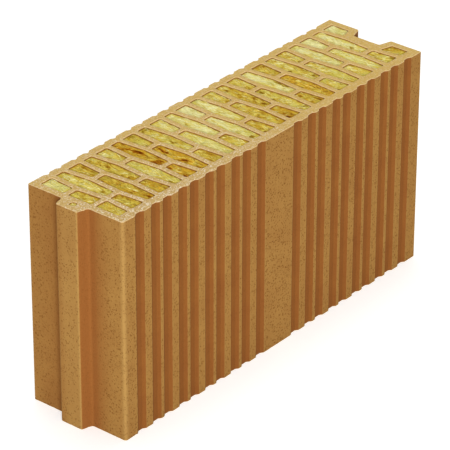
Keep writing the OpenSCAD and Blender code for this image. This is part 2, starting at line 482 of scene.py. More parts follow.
def edge_radius(ring, number, wear):
    """The usual radius, waved a little, and added to where a second wave rises past its crest into a chip.

    Each ring takes rows of its own from the lattice of random values.
    """
    steps = np.linalg.norm(np.roll(ring, -1, axis=0) - ring, axis=1)
    along = np.cumsum(steps) - steps[0]
    wear_row = along * 0 + number * WEAR_ROWS
    chip_row = along * 0 + number * CHIP_ROWS + CHIP_FIRST_ROW
    waved = wear["radius"] * (WEAR_LEAST + WEAR_SWAY * wave(along / WEAR_LENGTH, wear_row))
    return waved + wear["chip"] * ease(wave(along / CHIP_LENGTH, chip_row), *CHIP_LEVELS)


print("kinds of worn edge:", list(WEAR))

# %% Gather the rings into one set of points and walls
CELL_STEP = 1.5
CREST_RADIUS = 0.3
FLAT_EXTRA = 0.6
CREST_START = 0.12
# The cells' walls are a little redder and darker, partly a redder skin and partly painted shade
CELL_MEASURES = {"red_and_shade": 0.2, "flush_and_light": 0.0, "crest": 0.0, "pits": 0.0}
outer_measures = {"red_and_shade": outer_red_and_shade, "flush_and_light": outer_flush_and_light, "crest": outer_crest, "pits": outer_pits}

points, faces, upper_loops, lower_loops = [], [], [], []
clay_measures = {name: [] for name in (*CELL_MEASURES, "bed", "edge", "lining")}
total = 0
for number, corners in enumerate(clay_rings):
    outer = number == 0
    wear = WEAR["outer" if outer else "cell"]
    ring = outer_ring if outer else finer(corners, CELL_STEP)
    count = len(ring)
    radius = edge_radius(ring, number, wear)
    depth = radius * wear["deeper"]
    if outer:
        radius = np.minimum(radius, CREST_RADIUS + FLAT_EXTRA * (1 - ease(outer_crest, 0.0, CREST_START)))
    inward, height = worn_profile(radius, depth, wear["rim"])
    plan = ring[None, :, :] + inward[:, :, None] * into_clay(ring)[None, :, :]
    points.append(np.concatenate([plan, height[:, :, None]], axis=2).reshape(-1, 3))
    rows = len(inward)
    index = total + np.arange(rows * count).reshape(rows, count)
    ahead = np.roll(index, -1, axis=1)
    faces.append(np.stack([index[:-1], index[1:], ahead[1:], ahead[:-1]], axis=2).reshape(-1, 4))
    upper_loops.append(index[0])
    lower_loops.append(index[-1])
    for name, in_cell in CELL_MEASURES.items():
        around = outer_measures[name] if outer else np.full(count, in_cell)
        clay_measures[name].append(np.tile(around, rows))
    clay_measures["bed"].append(np.repeat(PROFILE_BED, count))
    clay_measures["edge"].append(np.repeat(PROFILE_EDGE * wear["pale"], count))
    clay_measures["lining"].append(np.full(rows * count, 0.0 if outer else 1.0))
    total += rows * count
points = np.concatenate(points)
walls = np.concatenate(faces)
print("points:", len(points), "wall faces:", len(walls))

# %% Fill the beds between the rings
# Two places nearer than this, in mm, count as the same
SAME_PLACE = 1e-6


def inside_clay(places, rings):
    """Even and odd: a place is in the clay if a line from it crosses the rings an odd number of times."""
    odd = np.zeros(len(places), dtype=bool)
    for ring in rings:
        ahead = np.roll(ring, -1, axis=0)
        below = ring[None, :, 1] > places[:, None, 1]
        across = below != (ahead[None, :, 1] > places[:, None, 1])
        rise = np.where(ahead[:, 1] == ring[:, 1], TINY, ahead[:, 1] - ring[:, 1])
        reach = ring[:, 0] + (places[:, None, 1] - ring[:, 1]) * (ahead[:, 0] - ring[:, 0]) / rise
        odd ^= np.sum(across & (places[:, None, 0] < reach), axis=1) % 2 == 1
    return odd


def fill_bed(loops):
    """Triangles between the loops: those of a constrained Delaunay fill whose middle lies in the clay."""
    numbers = np.concatenate(loops)
    starts = np.cumsum([0] + [len(loop) for loop in loops])
    spans = [np.arange(a, b) for a, b in zip(starts, starts[1:])]
    links = np.concatenate([np.stack([span, np.roll(span, -1)], axis=1) for span in spans])
    flat = points[numbers, :2]
    filled = delaunay_2d_cdt(list(map(Vector, flat.tolist())), links.tolist(), [], 0, SAME_PLACE)
    own = np.array([ids[0] for ids in filled[3]])
    triangles = own[np.array(filled[2])]
    keep = inside_clay(flat[triangles].mean(axis=1), [points[loop, :2] for loop in loops])
    return numbers[triangles[keep]]


upper_bed = fill_bed(upper_loops)
lower_bed = fill_bed(lower_loops)[:, ::-1]
print("bed triangles:", len(upper_bed), len(lower_bed))

# %% Make the clay body
CLAY_SHARP = 34


def make_piece(name, points_mm, face_sets, attributes, sharp):
    """A mesh object at the origin from points in mm, with one float attribute per name.

    Its faces are smooth, apart from edges that turn by more than the sharp angle in degrees.
    """
    mesh = bpy.data.meshes.new(name)
    faces = [face for face_set in face_sets for face in face_set.tolist()]
    mesh.from_pydata((points_mm * MM).tolist(), [], faces)
    mesh.shade_smooth()
    mesh.set_sharp_from_angle(angle=np.radians(sharp))
    for label, values in attributes.items():
        mesh.attributes.new(label, "FLOAT", "POINT").data.foreach_set("value", values.astype(np.float32))
    piece = bpy.data.objects.new(name, mesh)
    bpy.context.scene.collection.objects.link(piece)
    return piece


clay_attributes = {name: np.concatenate(values) for name, values in clay_measures.items()}
clay_body = make_piece("clay_body", points, [walls, upper_bed, lower_bed], clay_attributes, CLAY_SHARP)
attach(clay_body, "root")
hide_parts("clay_block")
print("clay body faces:", len(clay_body.data.polygons))

# %% [markdown]
# ## Fired clay
# Fired clay is dull and earthy. Pressing leaves faint drag lines along the wall, burnt-out sawdust leaves
# small dark pores, and the ground beds show a paler, sandy grit. A painted image could be wrapped round
# it, but noise patterns stay sharp at any distance. They sit on Object coordinates, at sizes given in
# millimetres, and the measures taken above say where the clay is redder and darker, partly a redder skin
# and partly painted shade, where it is paler, partly rubbed and partly a painted highlight, and where it
# is pored or ground. The cells keep a plain darker lining, partly the clay's own colour and partly painted
# shade, and the dust of the grinding lies thickest on the near side of the bed's tongue end. Grit and
# pores are drawn coarser than the real ones, so that they show.

# %% Mix the fired clay
def per_mm(size):
    """The texture scale at which one cell of a pattern measures this many millimetres."""
    return 1.0 / (size * MM)


fired_clay, tree, shader = new_material("fired_clay")
place = add(tree, "TexCoord").outputs["Object"]
measures = {name: add(tree, "Attribute", attribute_name=name).outputs["Fac"] for name in clay_attributes}
blotches = add(tree, "TexNoise", {"Vector": place, "Scale": per_mm(26), "Detail": 3.0}).outputs["Fac"]
grain = add(tree, "TexNoise", {"Vector": place, "Scale": per_mm(1.6), "Detail": 2.0}).outputs["Fac"]
stretched = add(tree, "Mapping", {"Vector": place, "Scale": (1.0, 1.0, 0.02)}).outputs[0]
drag = add(tree, "TexNoise", {"Vector": stretched, "Scale": per_mm(1.5), "Detail": 2.0}).outputs["Fac"]
print("patterns on the clay: blotches, grain and drag lines")

# %% Colour the skin of the clay
bloom = add(tree, "Mix", {0: blotches, 6: linear("#A07038"), 7: linear("#B28646")}, data_type="RGBA")
drag_share = add(tree, "MapRange", {"Value": drag, "From Min": 0.5, "From Max": 0.8, "To Max": 0.15})
dragged = add(
    tree, "Mix", {0: drag_share.outputs[0], 6: bloom.outputs[2], 7: linear("#8A5E2C")}, data_type="RGBA"
)
# The red skin goes where the clay is sheltered: a redder skin and painted shade
red_skin_and_shade = add(tree, "Mix", {0: blotches, 6: linear("#864F24"), 7: linear("#955F2A")}, data_type="RGBA")
red_skin_and_shade = add(
    tree, "Mix", {0: measures["flush_and_light"], 6: red_skin_and_shade.outputs[2], 7: linear("#965B2A")}, data_type="RGBA"
)
toned = add(
    tree, "Mix", {0: measures["red_and_shade"], 6: dragged.outputs[2], 7: red_skin_and_shade.outputs[2]}, data_type="RGBA"
)
# Crests are painted paler: partly rubbed, partly a painted highlight
crest_pale_and_highlight_share = add(
    tree, "MapRange", {"Value": measures["crest"], "From Min": 0.1, "From Max": 0.9, "To Max": 0.32}
)
open_crest = add(tree, "MapRange", {"Value": measures["red_and_shade"], "From Min": 0.6, "From Max": 0.1})
crest_pale_and_highlight_share = add(
    tree, "Math", {0: crest_pale_and_highlight_share.outputs[0], 1: open_crest.outputs[0]}, operation="MULTIPLY"
)
crest_pale_and_highlighted = add(
    tree, "Mix", {0: crest_pale_and_highlight_share.outputs[0], 6: toned.outputs[2], 7: linear("#C4A262")}, data_type="RGBA"
)
# The sheltered red is partly painted shade, and the rubbed crests are partly a painted highlight
print("skin colours: bloom, drag lines, sheltered red and rubbed crests")

# %% Prick the pores and line the cells
pore_cells = add(tree, "TexVoronoi", {"Vector": place, "Scale": per_mm(3.2)})
pore_core = add(
    tree, "MapRange", {"Value": pore_cells.outputs["Distance"], "From Min": 0.36, "From Max": 0.2}
)
pore_lot = add(tree, "SeparateColor", {"Color": pore_cells.outputs["Color"]})
pore_pick = add(tree, "MapRange", {"Value": pore_lot.outputs[0], "From Min": 0.3, "From Max": 0.7})
open_skin = add(
    tree, "MapRange", {"Value": measures["red_and_shade"], "From Min": 0.9, "From Max": 0.3, "To Min": 0.3}
)
rubbed = add(
    tree,
    "MapRange",
    {"Value": measures["crest"], "From Min": 0.1, "From Max": 0.7, "To Min": 1.0, "To Max": 0.7},
)
open_skin = add(tree, "Math", {0: open_skin.outputs[0], 1: rubbed.outputs[0]}, operation="MULTIPLY")
speck_cells = add(tree, "TexVoronoi", {"Vector": place, "Scale": per_mm(1.7)})
speck_core = add(
    tree, "MapRange", {"Value": speck_cells.outputs["Distance"], "From Min": 0.5, "From Max": 0.3}
)
speck_lot = add(tree, "SeparateColor", {"Color": speck_cells.outputs["Color"]})
speck_pick = add(tree, "MapRange", {"Value": speck_lot.outputs[0], "From Min": 0.45, "From Max": 0.85})
speck_share = add(
    tree, "Math", {0: speck_core.outputs[0], 1: speck_pick.outputs[0]}, operation="MULTIPLY"
)
pores = add(tree, "Math", {0: pore_core.outputs[0], 1: pore_pick.outputs[0]}, operation="MULTIPLY")
pores = add(tree, "Math", {0: pores.outputs[0], 1: speck_share.outputs[0]}, operation="MAXIMUM")
pores = add(tree, "Math", {0: pores.outputs[0], 1: open_skin.outputs[0]}, operation="MULTIPLY").outputs[0]
pore_most = add(tree, "Math", {0: measures["pits"], 1: 0.78}, operation="MULTIPLY").outputs[0]
pore_share = add(tree, "Math", {0: pores, 1: pore_most}, operation="MULTIPLY").outputs[0]
pored = add(tree, "Mix", {0: pore_share, 6: crest_pale_and_highlighted.outputs[2], 7: linear("#6E3E08")}, data_type="RGBA")
# The cells' lining is darker: partly the clay's own colour inside, partly painted shade of the recess
lining_colour_and_shade_share = add(tree, "Math", {0: measures["lining"], 1: 0.8}, operation="MULTIPLY").outputs[0]
pored = add(tree, "Mix", {0: lining_colour_and_shade_share, 6: pored.outputs[2], 7: linear("#99692B")}, data_type="RGBA")
print("pores of about 1 mm and finer specks")

# %% Grind the beds and finish the clay
grit_cells = add(tree, "TexVoronoi", {"Vector": place, "Scale": per_mm(1.25)})
grit_lot = add(tree, "SeparateColor", {"Color": grit_cells.outputs["Color"]}).outputs[0]
on_block = add(tree, "SeparateXYZ", {"Vector": place}).outputs
dust_along = add(tree, "MapRange", {"Value": on_block["X"], "From Min": 0.1, "From Max": -0.24})
dust_across = add(
    tree,
    "MapRange",
    {"Value": on_block["Y"], "From Min": 0.03, "From Max": -0.055, "To Min": 0.4, "To Max": 1.3},
)
dust = add(tree, "Math", {0: dust_along.outputs[0], 1: dust_across.outputs[0]}, operation="MULTIPLY")
tan_bed = add(tree, "Mix", {0: grain, 6: linear("#BA9049"), 7: linear("#E3C576")}, data_type="RGBA")
dusty_bed = add(tree, "Mix", {0: grain, 6: linear("#A0763F"), 7: linear("#EACD8A")}, data_type="RGBA")
ground_bed = add(
    tree, "Mix", {0: dust.outputs[0], 6: tan_bed.outputs[2], 7: dusty_bed.outputs[2]}, data_type="RGBA"
)
grit_most = add(tree, "MapRange", {"Value": dust.outputs[0], "To Min": 0.25, "To Max": 0.9}).outputs[0]
grit_share = add(
    tree, "MapRange", {"Value": grit_lot, "From Min": 0.66, "From Max": 0.96, "To Max": grit_most}
)
gritty = add(
    tree,
    "Mix",
    {0: grit_share.outputs[0], 6: ground_bed.outputs[2], 7: linear("#F3E4C8")},
    data_type="RGBA",
)
clay_colour = add(
    tree, "Mix", {0: measures["bed"], 6: pored.outputs[2], 7: gritty.outputs[2]}, data_type="RGBA"
)
# Edges are painted paler: partly rubbed and dusted, partly a painted highlight
edge_pale_and_highlight_share = add(tree, "Math", {0: measures["edge"], 1: 0.65}, operation="MULTIPLY").outputs[0]
edge_pale_and_highlighted = add(
    tree, "Mix", {0: edge_pale_and_highlight_share, 6: clay_colour.outputs[2], 7: linear("#E2C597")}, data_type="RGBA"
)
drag_height = add(tree, "Math", {0: drag, 1: 0.35}, operation="MULTIPLY").outputs[0]
grain_height = add(tree, "Math", {0: grain, 1: 0.5, 2: drag_height}, operation="MULTIPLY_ADD").outputs[0]
height = add(tree, "Math", {0: pores, 1: -0.8, 2: grain_height}, operation="MULTIPLY_ADD").outputs[0]
relief = add(tree, "Bump", {"Height": height, "Strength": 0.5, "Distance": 0.5 * MM})
tree.links.new(edge_pale_and_highlighted.outputs[2], shader.inputs["Base Color"])
tree.links.new(relief.outputs[0], shader.inputs["Normal"])
shader.inputs["Roughness"].default_value = 0.92
shader.inputs["Specular IOR Level"].default_value = 0.1
clay_body.data.materials.append(fired_clay)
print("fired clay has", len(tree.nodes), "nodes")

# %% [markdown]
# ## Mineral wool
# The cells are packed with mineral wool, cut off a little below the bed. Its face is a mat of fibres,
# streaked along the cell, with lumps and torn hollows, and loose strands lie on it. Particle hair would
# not survive an export, so the mat is a grid across and along the cell, pushed up and down by waves, and
# the strands are thin three-sided tubes that follow the same surface. They are drawn far thicker than
# real fibres, so that they show. The wool comes from many batts, so each cell has a grade, from near
# white to golden, and some have burnt or bleached stains.

# %% Grades and stains of the wool
WHITE_CELLS = "01_far 11_far 21_far 23_far".split()
PALE_CELLS = "09_far 09_near 10_far 11_near 12_far 16_far 20_far 21_near 22_far tongue".split()
OCHRE_CELLS = "03_far 04_far 08_near 12_near 13_near 14_far 16_near 17_far 23_near".split()
BRASSY_CELLS = "02_near 03_near 04_near 14_near".split()
GOLDEN_CELLS = "06_far 06_near 07_near 17_near".split()
GRADES = {
    **dict.fromkeys(WHITE_CELLS, -0.35),
    **dict.fromkeys(PALE_CELLS, 0.0),
    **dict.fromkeys(OCHRE_CELLS, 0.9),
    **dict.fromkeys(BRASSY_CELLS, 1.25),
    **dict.fromkeys(GOLDEN_CELLS, 1.6),
}
USUAL_GRADE = 0.5
# Each stain has its middle as shares across and along the cell, its two half sizes in
# mm, and how burnt it is, where a share below 0 is bleached
STAINS = {
    "01_middle": [(0.4, 0.45, 1.5, 3.5, 0.4)],
    "02_far": [(0.4, 0.75, 4.0, 11.0, -0.6), (0.45, 0.12, 1.5, 4.0, 0.3)],
    "03_far": [(0.82, 0.55, 2.2, 10.0, 0.4)],
    "03_near": [(0.68, 0.08, 2.2, 3.2, 0.7), (0.45, 0.33, 1.5, 3.0, 0.35)],
    "04_far": [(0.08, 0.26, 1.7, 2.2, 0.7), (0.3, 0.1, 2.0, 2.6, 0.5), (0.5, 0.58, 1.5, 3.0, 0.35)],
    "04_near": [(0.5, 0.55, 1.3, 2.6, 0.4)],
    "05_near": [(0.06, 0.55, 1.3, 2.6, 0.45), (0.2, 0.1, 1.5, 3.0, 0.35)],
    "06_far": [
        (0.6, 0.52, 2.2, 4.8, 1.0),
        (0.55, 0.7, 3.0, 5.0, 0.32),
        (0.45, 0.1, 4.0, 3.4, 0.7),
        (0.18, 0.2, 1.8, 3.2, 0.4),
        (0.2, 0.83, 1.6, 3.6, 0.45),
    ],
    "06_near": [(0.2, 0.87, 2.2, 2.2, 0.6), (0.15, 0.12, 2.0, 2.2, 0.7)],
    "07_far": [(0.5, 0.9, 5.0, 2.6, 0.3), (0.3, 0.1, 3.0, 1.6, 0.4)],
    "07_near": [(0.45, 0.82, 1.9, 6.4, 0.9), (0.42, 0.39, 2.3, 2.8, 0.8)],
    "08_far": [(0.5, 0.93, 5.0, 2.6, 0.4), (0.45, 0.35, 1.7, 3.0, 0.8), (0.4, 0.72, 2.5, 4.5, -0.7)],
    "08_near": [(0.75, 0.48, 1.7, 2.4, 0.55)],
    "10_far": [(0.7, 0.7, 2.5, 9.0, -0.7), (0.4, 0.28, 3.5, 6.0, -0.6), (0.3, 0.58, 1.5, 2.2, 0.4)],
    "11_near": [(0.35, 0.08, 2.6, 2.2, 0.45)],
    "12_far": [(0.4, 0.75, 4.0, 10.0, -0.5)],
    "12_near": [(0.12, 0.06, 2.2, 2.0, 0.8), (0.6, 0.06, 2.4, 1.8, 0.7)],
    "14_far": [
        (0.45, 0.8, 1.2, 5.0, 0.5),
        (0.35, 0.4, 1.8, 2.6, 0.4),
        (0.7, 0.32, 2.5, 3.0, 0.55),
        (0.55, 0.12, 2.3, 3.0, 0.8),
    ],
    "14_near": [(0.12, 0.14, 1.9, 2.6, 0.85), (0.5, 0.1, 1.8, 2.2, 0.7), (0.3, 0.42, 1.8, 2.0, 0.55)],
    "15_far": [(0.35, 0.15, 1.9, 2.0, 0.6)],
    "15_near": [(0.4, 0.9, 2.0, 2.8, 0.55), (0.12, 0.62, 1.4, 3.0, 0.4), (0.75, 0.08, 2.5, 2.5, 0.45)],
    "16_far": [(0.87, 0.3, 1.6, 8.0, 0.6), (0.4, 0.7, 3.0, 10.0, -0.6)],
    "16_near": [(0.25, 0.8, 1.7, 3.0, 0.6), (0.8, 0.2, 2.7, 3.2, 0.75), (0.2, 0.2, 1.8, 2.5, 0.5)],
    "17_far": [(0.85, 0.8, 2.0, 3.6, 0.4)],
    "18_far": [(0.1, 0.48, 1.9, 2.2, 0.75), (0.7, 0.08, 3.0, 2.5, 0.4)],
    "18_near": [(0.1, 0.07, 1.9, 2.0, 0.6)],
    "19_far": [(0.72, 0.5, 2.5, 9.0, -0.8), (0.4, 0.06, 1.6, 1.6, 0.5)],
    "21_near": [(0.5, 0.68, 4.0, 12.0, -0.5)],
    "22_far": [(0.4, 0.24, 1.7, 2.8, 0.5), (0.5, 0.75, 4.0, 10.0, -0.5)],
    "22_near": [(0.8, 0.08, 2.1, 2.1, 0.7)],
}
print("graded cells:", len(GRADES), "stained cells:", len(STAINS))

# %% Face of the mat
WOOL_GRID = 0.9
MAT_LEVEL = 0.25
TONGUE_LEVEL = 0.5
MAT_HIGHEST = 1.2
# Size of each wave across and along the fibres in mm, and how far it moves on the lattice from cell to cell
MAT_WAVES = {
    "lumps": (7, 10, 3.7, 1.9),
    "streaks": (1.8, 12, 5.3, 2.3),
    "threads": (0.8, 5, 7.9, 4.1),
    "tears": (4.2, 8, 2.9, 6.7),
}
TEAR_LEVELS = (0.6, 0.9)
LUMP_HEIGHT = 0.6
STREAK_HEIGHT = 0.6
THREAD_HEIGHT = 0.35
HOLLOW_DEPTH = 0.6


def smooth_mat(x, y, lot, lean, level):
    """Height of the mat in mm, then its torn hollows and its tone from 0 to 1, at each place.

    Lumps, streaks and threads are waves that are added, with their long way along the fibres, which lean
    a little from the cell's length. A hollow is where a fourth wave, the tears, rises past its crest.
    """
    along = x * np.sin(lean) + y * np.cos(lean)
    across = x * np.cos(lean) - y * np.sin(lean)
    lumps, streaks, threads, tears = (
        wave(across / wide + lot * move_x, along / long + lot * move_y)
        for wide, long, move_x, move_y in MAT_WAVES.values()
    )
    hollow = ease(tears, *TEAR_LEVELS)
    height = level + LUMP_HEIGHT * (lumps - 0.5) + STREAK_HEIGHT * (streaks - 0.5)
    height = height + THREAD_HEIGHT * (threads - 0.5) - HOLLOW_DEPTH * hollow
    tone = 0.45 * streaks + 0.3 * lumps + 0.25 * threads
    return np.minimum(height, MAT_HIGHEST), hollow, tone


def span_across(ring, y):
    """Left and right ends of the cell at each y: where the ring's sides cross that line."""
    ahead = np.roll(ring, -1, axis=0)
    low = np.minimum(ring[:, 1], ahead[:, 1])
    high = np.maximum(ring[:, 1], ahead[:, 1])
    rise = np.where(np.abs(ahead[:, 1] - ring[:, 1]) < SAME_PLACE, SAME_PLACE, ahead[:, 1] - ring[:, 1])
    share = np.clip((y[..., None] - ring[:, 1]) / rise, 0, 1)
    cross = ring[:, 0] + share * (ahead[:, 0] - ring[:, 0])
    meets = (y[..., None] >= low - SAME_PLACE) & (y[..., None] <= high + SAME_PLACE)
    return np.where(meets, cross, np.inf).min(axis=-1), np.where(meets, cross, -np.inf).max(axis=-1)


print("grid step on the wool:", WOOL_GRID, "mm")

# %% Stains in the wool
SHAKE_ACROSS = 2.2
SHAKE_ALONG = 4.4
SHARE_GAIN = 1.25
SIZE_GAIN = 1.15


def stain(x, y, u, v, wide, long, marks, lot):
    """The sum of soft patches: each is its share times e to the minus square of the way from its middle.

    The middle is given as shares across and along the cell, and the two half sizes in mm. Two waves of
    about 2 mm shake the distances, so that a patch has a ragged edge. A share below 0 is a bleached
    patch.
    """
    shaken_x = SHAKE_ACROSS * (wave(x / 1.7 + lot, y / 2.2) - 0.5)
    shaken_y = SHAKE_ALONG * (wave(x / 1.9 + 9.1, y / 2.6 + lot) - 0.5)
    total = np.zeros(x.shape)
    for across, along, half_wide, half_long, share in marks:
        off_x = ((u - across) * wide + shaken_x) / (SIZE_GAIN * half_wide)
        off_y = ((v - along) * long + shaken_y) / (SIZE_GAIN * half_long)
        total += SHARE_GAIN * share * np.exp(-(off_x**2) - off_y**2)
    return total


print("a stain's edge is shaken by up to", SHAKE_ALONG / 2, "mm")

# %% Tone of one insert
# The painted shade at the walls reaches SHADE_WIDTH mm into the wool and adds SHADE_SHARE to the tone
SHADE_WIDTH = 5.0
SHADE_SHARE = 0.5
RESIN_ALONG = 6.5
RESIN_ACROSS = 6.0
BLEACH_SHARE = 0.7
RESIN_SHARES = (-0.5, 1.0)
SLOPE_MEAN = -0.16
SLOPE_SPREAD = 0.2


def close_to(distance, width):
    """1 at a wall, eased down to 0 at this distance from it."""
    return 1 - ease(distance, 0.0, width)


def resin_and_tone_with_shade(to_left, to_right, to_near, to_far, to_wall, v, patches, draw):
    """Resin that gathered in the corners, and what is added to the tone.

    Each corner draws a share, which fades with the distance to the side wall times that to the end wall.
    The tone changes evenly from one end to the other, it is darker at the walls, which is a painted shade,
    and it is paler in bleached patches.
    """
    ends = [close_to(to_near, RESIN_ALONG), close_to(to_far, RESIN_ALONG)]
    sides = [close_to(to_left, RESIN_ACROSS), close_to(to_right, RESIN_ACROSS)]
    shares = draw.uniform(*RESIN_SHARES, 4).clip(0, 1)
    corners = [(end, side) for end in ends for side in sides]
    resin = sum(share * end * side for share, (end, side) in zip(shares, corners))
    slope = draw.normal(SLOPE_MEAN, SLOPE_SPREAD) * (v - 0.5)
    shade = close_to(to_wall, SHADE_WIDTH)
    return resin, slope + SHADE_SHARE * shade + BLEACH_SHARE * np.minimum(patches, 0)


print("resin reaches", RESIN_ALONG, "mm along the cell")

# %% Mat of one insert
RIM_WIDTH = 2.4
RIM_CALM = 0.65
TUCK_WIDTH = 1.4
TUCK_SHARE = 0.016
END_INSET = 1e-3
LOWER_LOT = 50.5


def shell_faces(rows, count):
    """Quads between neighbouring loops, and across the first and the last one, which close the ends."""
    index = np.arange(rows * count).reshape(rows, count)
    ahead = np.roll(index, -1, axis=1)
    tube = np.stack([index[:-1], ahead[:-1], ahead[1:], index[1:]], axis=2).reshape(-1, 4)
    k = np.arange(count // 2 - 1)
    front = np.stack([index[0, k], index[0, -1 - k], index[0, -2 - k], index[0, k + 1]], axis=1)
    back = np.stack([index[-1, k], index[-1, k + 1], index[-1, -2 - k], index[-1, -1 - k]], axis=1)
    return np.concatenate([tube, front, back])


def wool_mat(ring, base, top, lot, lean, level, draw, marks):
    """A closed shell: rows along y, each a loop over the upper face and back under the lower one.

    At share u across and y along, x = left + u (right - left), and the height is the mat's own, calmed
    near the cell's walls and tucked down there by a share of the cell's width.
    """
    y = np.linspace(ring[:, 1].min(), ring[:, 1].max(), int(np.ptp(ring[:, 1]) / WOOL_GRID) + 2)
    y[0] += END_INSET
    y[-1] -= END_INSET
    left, right = span_across(ring, y)
    u = np.linspace(0, 1, int(np.ptp(ring[:, 0]) / WOOL_GRID) + 2)
    x = left[:, None] + u * (right - left)[:, None]
    yy = np.broadcast_to(y[:, None], x.shape)
    v = ((y - y[0]) / (y[-1] - y[0]))[:, None]
    to_left = x - left[:, None]
    to_right = right[:, None] - x
    to_wall = np.minimum.reduce([to_left, to_right, yy - y[0], y[-1] - yy])
    patches = stain(x, yy, u[None, :], v, (right - left)[:, None], np.ptp(y), marks, lot)
    corner, tone_and_wall_shade = resin_and_tone_with_shade(
        to_left, to_right, v * np.ptp(y), (1 - v) * np.ptp(y), to_wall, v, patches, draw
    )
    tuck = TUCK_SHARE * np.ptp(ring[:, 0]) * close_to(to_wall, TUCK_WIDTH)
    calm = 1 - RIM_CALM * close_to(to_wall, RIM_WIDTH)
    upper, upper_hollow, upper_felt = smooth_mat(x, yy, lot, lean, level)
    lower, lower_hollow, lower_felt = smooth_mat(x, yy, lot + LOWER_LOT, -lean, level)
    upper = level + (upper - level) * calm - tuck
    lower = level + (lower - level) * calm - tuck
    upper_face = np.stack([x, yy, top + upper], axis=2)
    lower_face = np.stack([x, yy, base - lower], axis=2)[:, ::-1]
    loops = np.concatenate([upper_face, lower_face], axis=1)
    measures = {
        "hollow": np.concatenate([upper_hollow, lower_hollow[:, ::-1]], axis=1),
        # The felt tone carries the painted shade at the walls
        "felt": np.concatenate([upper_felt + tone_and_wall_shade, (lower_felt + tone_and_wall_shade)[:, ::-1]], axis=1),
        "resin": np.concatenate([corner, corner[:, ::-1]], axis=1),
        "scorch": np.concatenate([patches, patches[:, ::-1]], axis=1).clip(0, 1),
    }
    return loops.reshape(-1, 3), shell_faces(*loops.shape[:2]), measures


print("wool is tucked down at the walls by", TUCK_SHARE, "of a cell's width")

# %% Loose strands of one insert
# Sizes are in mm, spreads in radians, and spans and starts are shares
STRAND_STEPS = 6
STRAND_SPAN = (0.04, 0.96)
STRANDS_PER_MM2 = 0.085
STRAND_LENGTHS = (5, 15)
LONGEST_SHARE = 0.6
HEADING_SPREAD = 0.4
BEND_SPREAD = 0.5
STRAND_MARGIN = 0.6
STRAND_STARTS = (0.1, 0.9)
STRAND_LIFT = 0.35
STRAND_REST = 0.05
STRAND_HIGHEST = 1.05
STRAND_RADII = (0.2, 0.4)
SPOKES = np.radians([90, 210, 330])
BURNT_SHARE = 0.4
BURNT_FROM = 0.7


def loose_strands(ring, top, lot, lean, level, grade, draw, marks):
    """Thin tubes laid on the upper mat: a path bends evenly, and three points stand round each step of it.

    At share s the heading is start + bend (s - 1/2), the place is the running sum of the headings, and
    the radius is full times sin(pi s) to the half, so both ends taper. A strand that would leave the cell
    along its length is moved back into it whole. A higher grade has deeper tones, and more of its strands
    are burnt.
    """
    size = np.ptp(ring, axis=0)
    near, far = ring[:, 1].min(), ring[:, 1].max()
    count = int(size[0] * size[1] * STRANDS_PER_MM2)
    s = np.linspace(*STRAND_SPAN, STRAND_STEPS)
    length = np.minimum(draw.uniform(*STRAND_LENGTHS, (count, 1)), LONGEST_SHARE * size[1])
    heading = draw.normal(np.pi / 2 + lean, HEADING_SPREAD, (count, 1))
    heading = heading + draw.normal(0, BEND_SPREAD, (count, 1)) * (s - 0.5)
    step_x = np.cos(heading) * length / STRAND_STEPS
    step_y = np.sin(heading) * length / STRAND_STEPS
    y = draw.uniform(near, far, (count, 1)) + np.cumsum(step_y, axis=1)
    y = y - y.mean(axis=1, keepdims=True) + y[:, :1]
    y = y + np.maximum(near + STRAND_MARGIN - y.min(axis=1, keepdims=True), 0)
    y = y - np.maximum(y.max(axis=1, keepdims=True) - far + STRAND_MARGIN, 0)
    left, right = span_across(ring, y)
    x = left + (right - left) * draw.uniform(*STRAND_STARTS, (count, 1)) + np.cumsum(step_x, axis=1)
    x = np.clip(x, left + STRAND_MARGIN, right - STRAND_MARGIN)
    lift = draw.uniform(0.0, STRAND_LIFT, (count, 1)) * np.sin(np.pi * s) + STRAND_REST
    radius = draw.uniform(*STRAND_RADII, (count, 1)) * np.sqrt(np.sin(np.pi * s))
    z = top + np.minimum(smooth_mat(x, y, lot, lean, level)[0] + lift, STRAND_HIGHEST)
    sideways = radius[..., None] * np.cos(SPOKES)
    around = np.stack(
        [
            x[..., None] - np.sin(heading)[..., None] * sideways,
            y[..., None] + np.cos(heading)[..., None] * sideways,
            z[..., None] + radius[..., None] * np.sin(SPOKES),
        ],
        axis=3,
    )
    index = np.arange(count * STRAND_STEPS * 3).reshape(count, STRAND_STEPS, 3)
    ahead = np.roll(index, -1, axis=2)
    tube = np.stack([index[:, :-1], index[:, 1:], ahead[:, 1:], ahead[:, :-1]], axis=3).reshape(-1, 4)
    ends = np.concatenate([index[:, 0], index[:, -1, ::-1]])
    palest = 0.1 * grade - 0.4
    deepest = 0.5 * grade + 1.0
    tones = np.broadcast_to(draw.uniform(palest, deepest, (count, 1, 1)), index.shape)
    burnt = BURNT_SHARE * max(grade, 0.0) * ease(draw.uniform(0.0, 1.0, (count, 1)), BURNT_FROM, 1.0)
    u = (x - left) / (right - left)
    v = (y - near) / size[1]
    patches = np.maximum(stain(x, y, u, v, right - left, size[1], marks, lot), burnt).clip(0, 1)
    return around.reshape(-1, 3), tube, ends, tones.ravel(), np.repeat(patches.ravel(), 3)


print("steps along a strand:", STRAND_STEPS)

# %% Pack every cell
FIRST_SEED = 300
FIRST_LOT = 0.37
LOT_STEP = 0.61
LEAN_SPREAD = 0.12
GRADE_SHARE = 0.85
TONE_SPREAD = 0.15
WOOL_SHARP = 60

